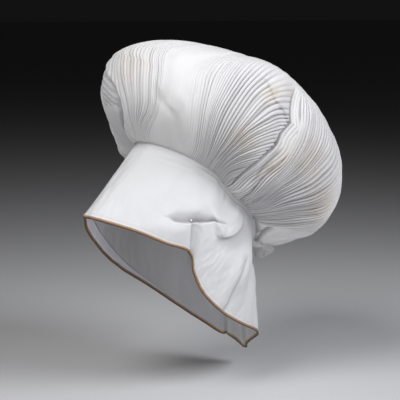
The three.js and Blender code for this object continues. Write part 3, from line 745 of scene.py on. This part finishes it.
def crown_relief(seam, number, angle, rise, pitch):
    """Lift of the cloth over the crown's form, in millimetres, its painted shade in valleys and creases, and its
    stains.
    """
    near = np.mod(angle, 360.0)
    strength = crown_strength(seam, angle, rise)
    index = np.floor(number + 1e-6)
    x = number - index
    x = x + 0.1 * np.sin(2 * math.pi * x) * np.sin(index * 2.3)
    ridge = np.abs(np.sin(math.pi * x)) ** 0.55
    deep = 1 + 0.75 * noise(index * 1.31, rise * 3.0, 9) + 0.45 * noise(index * 0.37, rise * 7.0, 3)
    deep = np.clip(deep, 0.25, 2.1)
    tight = bell(near, 110, 18, 4) * (1 - smooth(0.3, 0.5, rise))
    tight = tight + 0.7 * bell(near, 75, 10, 4) * (1 - smooth(0.14, 0.3, rise))
    gathered = np.exp(-rise / 0.11)
    front_part = (1 - smooth(40, 62, near)) + smooth(352, 358, near)
    depth = (0.52 - 0.14 * front_part) * np.minimum(pitch, 5.0) + 0.55 * gathered
    depth = depth * strength * deep * (1 + 1.3 * tight)
    lift = 0.5 * depth - depth * (1 - ridge)
    # painted shade in the pleats' valleys, broader where they are tight, more by the seam and less at the front
    valley = (1 - ridge) ** 1.2 * strength * np.clip(0.35 + 0.9 * deep, 0, 1.8) * (1 + 1.5 * tight)
    valley = valley + 0.1 * tight * strength
    valley = valley * (1 + 0.7 * gathered * (1 - front_part) - 0.25 * front_part)
    # single deep pleats, with painted shade in them
    for at, half, amount, first, last in DEEP_PLEATS:
        pleat = bell(seam, at, half) * window(rise, (first - 0.03, first + 0.05), (last - 0.06, last))
        lift, valley = lift - amount * pleat, valley + 0.3 * pleat
    # left of the fold: the pocket under the lip and the foot of the fold, with painted shade at the foot and under the
    # lip
    fold, lip = along_line(FOLD_LINE, rise), along_line(LIP_LINE, near)
    left = (seam > LEFT_FROM) & (seam < LEFT_TO)
    pocket = left * smooth(-0.004, 0.004, lip - rise) * smooth(0, 1, 1 - (fold - near) / 22.0) * smooth(0, 0.1, rise)
    lift = lift - 3.4 * pocket * (near > 50) * (near < 100)
    foot = left * bell(near, fold, 0.7) * crest(rise)
    lift, valley = lift - 1.6 * foot, valley + 0.8 * foot
    valley = valley + 0.6 * bell(rise, lip - 0.004, 0.004) * smooth(62, 68, near) * (near < fold) * left
    # right of it: the crest, and the valley and slit of the folded strip, both darkened with painted shade
    right = (~left) * (near > 70) * (near < 130)
    lift = lift + 1.3 * right * bell(near, fold, 3) * crest(rise)
    valley_at = curve(PATH_RISES, PLEAT_PATHS[0], rise)
    groove = right * bell(near, valley_at, 1.3) * window(rise, (0, 0.04), (0.22, 0.29))
    lift, valley = lift - 2.4 * groove, valley + 0.5 * groove
    slit = right * groove_along(STRIP_SLIT, 0.55, rise, near) * window(rise, (0.12, 0.2), (0.29, 0.32))
    lift, valley = lift - 1.8 * slit, valley + slit
    # slow unevenness, stronger where there are no pleats
    plain = 1 - np.clip(strength, 0, 1)
    slow = noise(angle / 7.5, rise * 5.0, 21, 48) + 0.45 * noise(angle / 3.0, rise * 8.0, 5, 120)
    fine = 0.22 * noise(angle / 1.8, rise * 22.0, 33, 200)
    lift = lift + (1.3 * slow + fine) * window(rise, (0.02, 0.15), (0.9, 0.98)) * (0.45 + 0.6 * plain)
    # soft folds that fan out from the nape, and a deep one beside the seam, with painted shade in it and along the seam
    nape = nape_share(near, rise)
    lift = lift + nape * smooth(0, 0.05, rise) * (1.3 * np.sin(near * 0.42 + 6 * rise) + 0.5 * np.sin(near * 1.1))
    deep_fold = groove_along(NAPE_GROOVE, 0.013, near, rise) * window(near, (126, 130), (150, 160))
    above_fold = groove_along(NAPE_GROOVE, 0.02, near, rise - 0.035) * smooth(126, 134, near) * nape
    lift, valley = lift - 5.5 * deep_fold + 1.5 * above_fold, valley + 1.5 * deep_fold
    valley = valley + 1.8 * bell(rise, 0, 0.022) * window(near, (114, 122), (150, 158))
    # the crease at the front, with cloth rolled over it and a few turned pleats beside it
    front, beside = beside_crease(near, rise)
    ends = window(rise, (0.005, 0.05), (0.29, 0.35))
    crease = groove_along(FRONT_CREASE, 1.6, rise, front) * ends
    rolled = groove_along(FRONT_CREASE, 2.4, rise, front - 3.4) * ends
    # painted shade in the crease, in the turned pleats and over the plain cloth beside the crease
    lift, valley = lift - 3.6 * crease + 1.8 * rolled, valley + 1.5 * crease
    stroke = np.abs(np.sin(math.pi * (rise + 0.0032 * front) / 0.024)) ** 0.7
    turned = turned_share(front, beside, rise, (0.165, 0.185), (0.285, 0.31)) * (1 - stroke)
    lift, valley = lift - 2.2 * turned, valley + 1.9 * turned
    shade = smooth(-0.5, 0.5, beside) * np.exp(-np.maximum(beside, 0) / 13.0) * ends * (front < 12)
    valley = valley + 0.65 * shade
    # soft folds of the plain cloth, with a little painted shade in those that sink in
    for half, depth_mm, line in SOFT_FOLDS:
        first, last = line[0][0], line[-1][0]
        there = groove_along(line, half, rise, front)
        there = there * window(rise, (first - 0.02, first + 0.05), (last - 0.05, last + 0.02))
        lift, valley = lift - depth_mm * there, valley + 0.09 * max(depth_mm, 0) * there
    # small gathers where the plain cloth meets the seam
    gathers = window(seam, (376, 380), (412, 417)) * np.exp(-rise / 0.03) * smooth(0, 0.008, rise)
    lift = lift + 1.3 * gathers * noise(near / 1.3, rise * 20.0, 17, 276)
    stain = np.zeros_like(near)
    for at, where, half, tall, amount in STAINS:
        stain = stain + amount * bell(turn(near, at), 0, half) * bell(rise, where, tall)
    return lift, np.clip(valley, 0, VALLEY_LIMIT) * VALLEY_SHARE, stain


def nape_dip(angle, rise):
    """How far the underside is pulled in at the nape, in millimetres."""
    near = np.mod(angle, 360.0)
    return 6.5 * bell(near, 147, 15) * bell(rise, 0.16, 0.085) * smooth(0, 0.05, rise)


def crown_normals(angle, rise):
    across = crown_form(angle + 0.25, rise) - crown_form(angle - 0.25, rise)
    along = crown_form(angle, rise + 0.003) - crown_form(angle, np.maximum(rise - 0.003, 0.0))
    return unit(np.cross(across, along))


def ring_pitch(points, number):
    """The width of a pleat at each vertex of a ring."""
    step = np.linalg.norm(np.roll(points, -1, 0) - np.roll(points, 1, 0), axis=1)
    passed = np.abs(np.roll(number, -1) - np.roll(number, 1))
    return step / np.where(passed > 1.5, 0.4, np.maximum(passed, 0.2))


def make_crown():
    rings = crown_net()
    seam, number, angle, row = (np.concatenate([r[k] for r in rings]) for k in ("seam", "number", "angle", "row"))
    first = np.concatenate([[0], np.cumsum([len(r["column"]) for r in rings])])
    plain_rise = CROWN_ROWS[row]
    start = border_share(crown_form, angle, SEAM_CLEAR, 0.0)
    rise = start + plain_rise * (1 - start)
    form = crown_form(angle, rise)
    pitch = np.concatenate([ring_pitch(form[first[k]:first[k + 1]], r["number"]) for k, r in enumerate(rings)])
    lift, valley, stain = crown_relief(seam, number, angle, plain_rise, pitch)
    lift = np.minimum(lift, GREATEST_LIFT) - nape_dip(angle, plain_rise)
    outer = form + crown_normals(angle, rise) * lift[:, None]
    pole = crown_form(0.0, 1.0)
    named = [list(zip(r["column"].tolist(), range(first[k], first[k + 1]))) for k, r in enumerate(rings)]
    quads, triangles = [], []
    for low, high in zip(named, named[1:]):
        q, t = zip_rings(low, high)
        quads += q
        triangles += t
    pole_index = int(first[-1])
    top = np.arange(first[-2], first[-1])
    triangles += np.stack([top, np.roll(top, -1), np.full(len(top), pole_index)], -1).tolist()
    # inner surface: coarse columns below the outer one, joined to it along the seam
    count, seam_from = LINING_COLUMNS, PLEAT_FIELDS[0][0]
    inner_angle = seam_from + 360.0 * np.arange(count) / count
    inner_rows = np.linspace(0, LINING_TOP, LINING_ROWS)[:, None]
    inner_start = border_share(crown_form, inner_angle, SEAM_CLEAR, 0.0)
    inner_form = crown_form(inner_angle[None, :], inner_start + inner_rows * (1 - inner_start))
    deep = CROWN_WALL + LINING_DEPTH * smooth(0, 0.06, inner_rows) + nape_dip(inner_angle[None, :], inner_rows)
    inner = inner_form - grid_normals(inner_form, 1) * deep[..., None]
    first_inner = pole_index + 1
    inner_pole = first_inner + LINING_ROWS * count
    quads += grid_faces(LINING_ROWS, count, first_inner, flip=True).tolist()
    last = inner_pole - count + np.arange(count)
    triangles += np.stack([np.roll(last, -1), last, np.full(count, inner_pole)], -1).tolist()
    near = np.floor((rings[0]["angle"] - seam_from) / (360.0 / count) + 0.5).astype(int)
    for i in range(len(near)):
        n = (i + 1) % len(near)
        a, b = near[i], near[n] if n else count
        triangles.append((n, i, first_inner + a % count))
        for k in range(a, b):
            triangles.append((n, first_inner + k % count, first_inner + (k + 1) % count))
    points = np.concatenate([outer, pole[None, :], inner.reshape(-1, 3), (pole - UP * LINING_DEPTH)[None, :]])
    obj = add_object("crown_cloth", points, quads + triangles, pleated_cotton)
    shade_and_marks = np.zeros((len(obj.data.vertices), 3))
    # painted shade of valleys and creases, and the stains, outside; an even painted shade inside
    shade_and_marks[:pole_index, 0], shade_and_marks[:pole_index, 1] = valley, stain
    shade_and_marks[first_inner:, 0] = LINING_SHADE
    paint(obj, "shade_and_marks", shade_and_marks)
    return obj


crown = make_crown()
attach(crown, "root")
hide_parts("crown")


# brim

BRIM_COLUMNS, BRIM_ROWS, BRIM_END_GAP = 530, 93, 1.2

# the tuck's upper and lower border, and the lower border's depth: angle and down, angle and millimetres
TUCK_TOP = [(56.5, 0.705), (58.5, 0.63), (62, 0.56), (68, 0.50), (74, 0.46), (80.5, 0.41), (87, 0.36),
            (92, 0.325), (96, 0.305)]
TUCK_BOTTOM = [(56.5, 0.71), (63, 0.715), (68, 0.69), (72, 0.66), (76, 0.62), (80, 0.54), (84.5, 0.44),
               (88, 0.39), (92, 0.345), (96, 0.312)]
TUCK_DEPTH = [(54, 0), (58, 2.5), (64, 7), (72, 10), (80, 8.5), (86, 6), (92, 3.5), (96, 0)]
# the bent fold below the tuck, the seam of the curtain's rear panel, and the front panel's overlap: angle and down
DRAPE = [(80, 0.61), (86.5, 0.55), (94.5, 0.475), (97.5, 0.45), (102, 0.39), (105, 0.31), (106, 0.24),
         (106, 0.18), (106, 0.11)]
REAR_VALLEY = [(0.34, 120), (0.42, 121.5), (0.56, 121), (0.73, 121.5), (0.9, 122.5), (1, 121.5)]
OVERLAP = [(0.6, 71), (0.66, 71.5), (0.69, 72), (0.80, 74), (0.96, 77.2), (1, 78.5)]
# the rough size of a degree and of the whole way down, in millimetres
DEGREE_MM, DOWN_MM = 2.4, 190.0
# painted shade of the brim's inside
INSIDE_SHADE = 0.42
CAD_COLUMNS = 82.0


def brim_angle(even):
    """Columns stand closer together near the notch."""
    return even - NOTCH_GATHER * np.sin(np.radians(even - NOTCH_ANGLE))


def beside_line(line, angle, down):
    """Distance from a line on the brim in millimetres, above 0 on its left hand, and the share passed along it."""
    points = np.array(line) * [DEGREE_MM, DOWN_MM]
    x, y = angle * DEGREE_MM, down * DOWN_MM
    length = np.concatenate([[0], np.cumsum(np.linalg.norm(np.diff(points, axis=0), axis=1))])
    best, signed, share = np.full(x.shape, 1e9), np.zeros(x.shape), np.zeros(x.shape)
    for k in range(len(points) - 1):
        d = points[k + 1] - points[k]
        t = np.clip(((x - points[k, 0]) * d[0] + (y - points[k, 1]) * d[1]) / (d @ d), 0, 1)
        off_x, off_y = x - points[k, 0] - t * d[0], y - points[k, 1] - t * d[1]
        far = np.hypot(off_x, off_y)
        nearer = far < best
        side = np.where(d[0] * off_y - d[1] * off_x < 0, 1.0, -1.0)
        best = np.where(nearer, far, best)
        signed = np.where(nearer, far * side, signed)
        share = np.where(nearer, (length[k] + t * (length[k + 1] - length[k])) / length[-1], share)
    return signed, share


def brim_relief(angle, down):
    """Fine shape of the brim over its form, in millimetres outward, and its painted shade."""
    near = np.mod(angle, 360.0)
    # the pinned tuck: the cloth slopes in under a soft edge and stands out again below a sharp one
    top, bottom, depth = (along_line(line, near) for line in (TUCK_TOP, TUCK_BOTTOM, TUCK_DEPTH))
    inside, past = np.clip((down - top) / np.maximum(bottom - top, 0.01), 0, 1), down - bottom
    slope = inside ** 1.7 * (1 - smooth(-0.004, 0.012, past))
    proud = smooth(0, 0.016, past) * np.exp(-np.maximum(past, 0) / 0.07)
    lift = depth * (0.04 * proud - 0.8 * slope)
    lip = bell(past, 0.004, 0.009)
    # painted shade inside the tuck, and a painted dark line along its sharp lower edge
    shade = 0.24 * smooth(0.1, 0.5, inside) * (inside < 1) + 0.5 * slope * smooth(0.4, 1, inside) + 0.6 * lip
    shade = shade * np.minimum(depth / 6.0, 1)
    # the front panel laps over the curtain along a line from the pin to the notch, with a painted shadow on the curtain
    behind = near - along_line(OVERLAP, down)
    over = smooth(0.63, 0.70, down)
    left = smooth(-0.3, 0.3, -behind)
    lift += over * (1.6 * left * bell(behind, 0, 8) - 2.6 * (1 - left) * bell(behind, 0, 9))
    shadow = 0.75 * np.exp(-np.maximum(behind, 0) / 1.1) * (near < 100) + 0.1 * bell(behind, 0, 14)
    shade += over * (1 - left) * shadow
    # the bent fold of the curtain's cloth, with painted shade on its lower side
    side, share = beside_line(DRAPE, near, down)
    grown = window(share, (0.2, 0.5), (0.74, 1))
    step = smooth(-2, 2, side)
    lift += grown * (2.6 * step * bell(side, 0, 24) - 3.8 * (1 - step) * bell(side, 0, 22))
    shade += grown * (1 - step) * (0.5 * bell(side, 0, 6) + 0.22 * bell(side, 0, 26))
    lift += 0.3 * grown * (bell(side, 10, 3) - bell(side, 15, 2.6)) * smooth(0.45, 0.6, share)
    # the curtain's rear panel, with painted shade in its valley and over the panel
    off = near - along_line(REAR_VALLEY, down)
    fade = smooth(0.36, 0.46, down)
    lift -= 3.4 * fade * bell(off, 0, 2.6)
    shade += fade * (0.5 * bell(off, 0.2, 0.9) + 0.12 * smooth(-1, 1, off) * (near < 150))
    # at the nape the cloth is pulled in below the seam
    lift -= 9 * bell(near, 150, 20) * bell(down, 0.17, 0.13) * smooth(0.01, 0.08, down)
    # a corded band beside the seam, pressed in and darkened with painted shade
    cord = window(near, (58, 66), (112, 120)) * bell(down, 0.047, 0.007)
    lift -= 0.9 * cord
    shade += 0.5 * cord
    # faint wrinkles
    lift += (0.8 * noise(angle / 7.0, down * 4.0, 11) + 0.35 * noise(angle / 2.6, down * 9.0, 4)) * smooth(0, 0.1, down)
    flap = window(near, (84, 90), (150, 170))
    lift += 0.5 * flap * noise(angle / 1.7 + 3 * down, down * 16.0, 14) * smooth(0.3, 0.5, down)
    # wrinkles that run beside the seam at the front
    beside = bell(down, 0.1, 0.06) * window(near, (20, 40), (60, 80))
    lift += beside * np.sin(down * 90.0 + near * 0.12)
    # the turned hem lies under a line of stitches, pressed in a little with painted shade along it
    hem = bell(down, 0.955, 0.008)
    lift -= 0.25 * hem
    shade += 0.12 * hem
    return lift, np.clip(shade, 0, 1)


def make_brim():
    rows, columns = BRIM_ROWS, BRIM_COLUMNS
    angle = brim_angle(360.0 * np.arange(columns) / columns)
    start = border_share(brim_form, angle, SEAM_CLEAR, 0.0)
    end = 1 - border_share(brim_form, angle, BRIM_END_GAP, 1.0)
    down = start + np.linspace(0, 1, rows)[:, None] * (end - start)
    grid_angle = np.tile(angle, (rows, 1))
    form = brim_form(grid_angle, down)
    lift, shade = brim_relief(grid_angle, down)
    outer = form + grid_normals(form, -1) * lift[..., None]
    inner = outer - grid_normals(outer, -1) * BRIM_WALL
    n = columns * rows
    ring_a = np.arange(columns)
    ring_b = n - columns + ring_a
    faces = np.concatenate([grid_faces(rows, columns, 0, flip=True), grid_faces(rows, columns, n),
                            rim_faces(ring_a, ring_a + n), rim_faces(ring_b, ring_b + n, flip=True)])
    obj = add_object("brim_cloth", np.stack([outer, inner]), faces, brim_cotton)
    shade_and_marks = np.zeros((len(obj.data.vertices), 3))
    # painted shade: the relief's on the outer surface, an even one on the inner
    shade_and_marks[:n, 0] = shade.ravel()
    shade_and_marks[n:, 0] = INSIDE_SHADE
    paint(obj, "shade_and_marks", shade_and_marks)
    return obj


brim = make_brim()
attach(brim, "root")
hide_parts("brim")


# facing

# the facing's ends in columns of the solid brim, its mesh, its distance from the edge, and the gap over its cloth
FACING_ENDS, FACING_COLUMNS, FACING_ROWS, FACING_END_GAP, FACING_LIFT = (-22, 14), 240, 10, 2.6, 0.35


def make_facing():
    rows, columns = FACING_ROWS, FACING_COLUMNS
    position = np.linspace(*FACING_ENDS, columns)
    angle = brim_angle(360.0 * position / CAD_COLUMNS)
    end = 1 - border_share(brim_form, angle, FACING_END_GAP, 1.0)
    full = window(position - FACING_ENDS[0], (0, 9), (33, 36))
    start = 1 - border_share(brim_form, angle, BRAID_HALF_WIDTH + 1 + (FACING_WIDTH - 1) * full, 1.0)
    share = np.linspace(0, 1, rows)[:, None]
    down = start + share * (end - start)
    grid_angle = np.tile(angle, (rows, 1))
    across = brim_form(grid_angle + 0.4, down) - brim_form(grid_angle - 0.4, down)
    along = brim_form(grid_angle, np.minimum(down + 0.004, 1)) - brim_form(grid_angle, down - 0.004)
    normal = unit(-np.cross(across, along))
    form = brim_form(grid_angle, down)
    ripple = 0.18 * np.sin(position * 5.1) * (1 - share) + 0.12 * noise(grid_angle / 1.7, share * 3, 8)
    near = (BRIM_WALL + FACING_LIFT + np.clip(ripple, -0.25, 0.4))[..., None]
    points = np.stack([form - normal * near, form - normal * (near + FACING_WALL)])
    return add_object("facing_cloth", points, panel_faces(rows, columns, True), facing_cotton)


facing = make_facing()
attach(facing, "root")
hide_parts("brim_facing")


# braid, cord and pin

BRAID_STEPS, BRAID_SIDES, BRAID_PITCH = 1500, 16, 3.4
CORD_STEPS, CORD_SIDES, CORD_PITCH = 900, 10, 5.0
PIN_ROWS, PIN_COLUMNS = 14, 20


def edge_frames(count):
    """Centres, outward and downward directions and the length run along the edge's braid."""
    angle = brim_angle(360.0 * np.arange(count) / count)
    one = np.ones_like(angle)
    across = unit(brim_form(angle + 0.4, one) - brim_form(angle - 0.4, one))
    along = brim_form(angle, one) - brim_form(angle, one - 0.008)
    out = unit(-np.cross(across, along))
    lift, _ = brim_relief(angle, one)
    centre = brim_form(angle, one) - out * (BRIM_WALL / 2) + out * lift[:, None]
    length = np.concatenate([[0], np.cumsum(np.linalg.norm(np.diff(centre, axis=0), axis=1))])
    return centre, out, unit(np.cross(across, out)), length


def make_braid():
    """Two cords side by side on each face, plaited."""
    centre, out, down, length = edge_frames(BRAID_STEPS)
    t = length / length[-1] * round(length[-1] / BRAID_PITCH)
    points, shade_and_marks = [], []
    for k in range(BRAID_SIDES):
        a = 2 * math.pi * k / BRAID_SIDES
        c, s = math.cos(a), math.sin(a)
        lobes = 0.8 + 0.2 * abs(math.sin(a * 2)) ** 0.7
        plait = 0.16 * np.sin(2 * math.pi * (t + (0.25 if c > 0 else -0.25)) + 3 * a)
        r = (lobes + plait * abs(s) ** 0.5)[:, None]
        points.append(centre + down * (BRAID_HALF_WIDTH * c * r) + out * (BRAID_HALF_THICKNESS * s * r))
        # painted shade between the plait's lobes, and the darker outer edge
        valley = 0.8 * np.clip(3 * (1 - lobes) - 1.6 * plait, 0, 1)
        outer = np.full(BRAID_STEPS, 0.9 * float(smooth(-0.1, 0.5, c)))
        shade_and_marks.append(np.stack([valley, outer, 0 * outer], -1))
    obj = add_object("edge_braid_yarn", np.stack(points, 1), tube_faces(BRAID_STEPS, BRAID_SIDES), brown_braid)
    paint(obj, "shade_and_marks", np.stack(shade_and_marks, 1).reshape(-1, 3))
    return obj


braid = make_braid()
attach(braid, "root")
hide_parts("edge_braid")


def make_cord():
    along, side, above = seam_local(360.0 * np.arange(CORD_STEPS) / CORD_STEPS)
    centre = place(along, side, above)
    away = unit(place(along, side, np.zeros_like(above)) - CENTRE)
    step = np.linalg.norm(np.roll(centre, -1, 0) - centre, axis=1)
    length = np.concatenate([[0], np.cumsum(step)[:-1]])
    t = length / step.sum() * round(step.sum() / CORD_PITCH)
    points = []
    for k in range(CORD_SIDES):
        a = 2 * math.pi * k / CORD_SIDES
        r = CORD_RADIUS * (0.93 + 0.07 * np.cos(2 * a + 2 * math.pi * t))[:, None]
        points.append(centre + away * (r * math.cos(a)) + UP * (r * math.sin(a)))
    return add_object("seam_cord", np.stack(points, 1), tube_faces(CORD_STEPS, CORD_SIDES), seam_cotton)


cord = make_cord()
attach(cord, "root")
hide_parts("seam_binding")


def make_pin():
    """A bead with a faint groove round its middle, where the solid pin is."""
    low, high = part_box("tuck_pin")
    centre = np.array((low + high) / 2) * 1000.0
    a = math.pi * np.arange(PIN_ROWS + 1)[:, None] / PIN_ROWS
    b = 2 * math.pi * np.arange(PIN_COLUMNS) / PIN_COLUMNS
    r = PIN_RADIUS * (1 - 0.06 * bell(a, math.pi / 2, 0.12)) + 0 * b
    points = centre + np.stack([r * np.sin(a) * np.cos(b), r * np.sin(a) * np.sin(b), r * np.cos(a)], -1)
    return add_object("pin_bead", points, grid_faces(PIN_ROWS + 1, PIN_COLUMNS, 0, flip=True), white_pin)


pin = make_pin()
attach(pin, "root")
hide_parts("tuck_pin")


# ruffle

RUFFLE_COLUMNS, RUFFLE_ROWS, RUFFLE_ANGLES, RUFFLE_GAP = 150, 16, (150.0, 204.0), 0.9
# how far it hangs down along its bow: share of its length, millimetres
RUFFLE_DROP = [(0, 9), (0.08, 10), (0.17, 8.5), (0.25, 7), (0.33, 7), (0.42, 12), (0.5, 19), (0.58, 24),
               (0.67, 22), (0.75, 17), (0.83, 13), (1, 7)]


def make_ruffle():
    rows, columns = RUFFLE_ROWS, RUFFLE_COLUMNS
    share = np.linspace(0, 1, columns)
    angle = RUFFLE_ANGLES[0] + (RUFFLE_ANGLES[1] - RUFFLE_ANGLES[0]) * share
    rise = 0.035 + (0.085 + 0.035 * bell(share, 0.32, 0.16)) * np.sin(math.pi * share)
    step = crown_form(angle + 0.4, rise) - crown_form(angle - 0.4, rise)
    along = crown_form(angle, rise + 0.004) - crown_form(angle, rise - 0.004)
    top = crown_form(angle, rise) - crown_normals(angle, rise) * nape_dip(angle, rise)[:, None]
    top = top + unit(np.cross(step, along)) * RUFFLE_GAP
    away = np.concatenate([level_direction(top), np.zeros((columns, 1))], 1)
    down = np.linspace(0, 1, rows)[:, None]
    wave = 1.5 * np.sin(share * 2 * math.pi * 7.5 + 0.5) * smooth(0, 0.8, down)
    wave = wave + 0.6 * np.sin(share * 2 * math.pi * 15.0) * smooth(0.3, 1, down)
    roll = smooth(0.82, 1, down)
    drop = along_line(RUFFLE_DROP, share) * down * (1 - 0.06 * roll)
    middle = top + away * (wave + 1.5 * roll)[..., None] - np.array([0, 0, 1]) * drop[..., None]
    normal = unit(np.cross(np.gradient(middle, axis=1), np.gradient(middle, axis=0)))
    half = (0.45 + 0.75 * bell(down, 0.97, 0.05))[..., None]
    points = np.stack([middle + normal * half, middle - normal * half])
    return add_object("ruffle_cloth", points, panel_faces(rows, columns, False), ruffle_cotton)


ruffle = make_ruffle()
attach(ruffle, "root")
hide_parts("nape_ruffle")


# studio

# the floor's height and reach in millimetres
FLOOR, FLOOR_REACH = -378.0, 60000.0
PAPER = (0.72, 0.72, 0.73, 1)
floor_points = [(x * FLOOR_REACH, y * FLOOR_REACH, FLOOR) for x, y in ((-1, -1), (1, -1), (1, 1), (-1, 1))]
floor_paper = toned("floor_paper", PAPER, tuple(0.96 * c for c in PAPER[:3]) + (1,), 3.0, Roughness=0.9)
floor = add_object("studio_floor", floor_points, np.array([[0, 1, 2, 3]]), floor_paper, False)

# the camera: angles of the view, distance and the width it shows in metres, sensor in millimetres
VIEW_AZIMUTH, VIEW_ELEVATION, DISTANCE, FRAME_WIDTH = math.radians(60.0), math.radians(8.5), 2.1, 0.66
SENSOR_WIDTH = 36.0
# where the picture's middle lies, to the right and upward from the origin
MIDDLE_RIGHT, MIDDLE_UPWARD = 0.0396, -0.06435
LIGHT_SPREAD = 110.0
# name, place to the right, upward and towards the camera from the middle, diameter, power and colour
LIGHTS = [
    ("key", -0.75, 1.25, 1.2, 1.0, 8.4, (1, 1, 1)),
    ("fill", -0.5, -0.1, 2.0, 1.4, 3.5, (0.96, 0.97, 1.0)),
    ("side", 1.55, 1.1, 0.95, 1.2, 11.8, (0.95, 0.96, 1.0)),
]
BACKGROUND = (0.006, 0.006, 0.006, 1)

back = Vector((math.sin(VIEW_AZIMUTH) * math.cos(VIEW_ELEVATION), -math.cos(VIEW_AZIMUTH) * math.cos(VIEW_ELEVATION),
               math.sin(VIEW_ELEVATION)))
right = Vector((math.cos(VIEW_AZIMUTH), math.sin(VIEW_AZIMUTH), 0.0))
upward = right.cross(-back)
middle = right * MIDDLE_RIGHT + upward * MIDDLE_UPWARD


def stand(name, data, position, direction):
    """Puts a light or a camera in its place, turned in a direction."""
    obj = bpy.data.objects.new(name, data)
    bpy.context.scene.collection.objects.link(obj)
    obj.location = position
    obj.rotation_mode = "QUATERNION"
    obj.rotation_quaternion = direction.to_track_quat("-Z", "Y")
    return obj


for name, to_right, to_top, to_camera, size, power, colour in LIGHTS:
    light = bpy.data.lights.new(name, "AREA")
    light.shape, light.size, light.energy, light.color = "DISK", size, power, colour
    light.spread = math.radians(LIGHT_SPREAD)
    offset = upward * to_top + right * to_right + back * to_camera
    stand(name, light, middle + offset, -offset)

world = bpy.data.worlds.new("studio")
bpy.context.scene.world = world
world.use_nodes = True
world.node_tree.nodes["Background"].inputs["Color"].default_value = BACKGROUND

camera_data = bpy.data.cameras.new("camera")
camera_data.sensor_fit = "HORIZONTAL"
camera_data.sensor_width = SENSOR_WIDTH
camera_data.lens = SENSOR_WIDTH * DISTANCE / FRAME_WIDTH
bpy.context.scene.camera = stand("camera", camera_data, middle + back * DISTANCE, -back)
bpy.context.scene.view_settings.view_transform = "Standard"
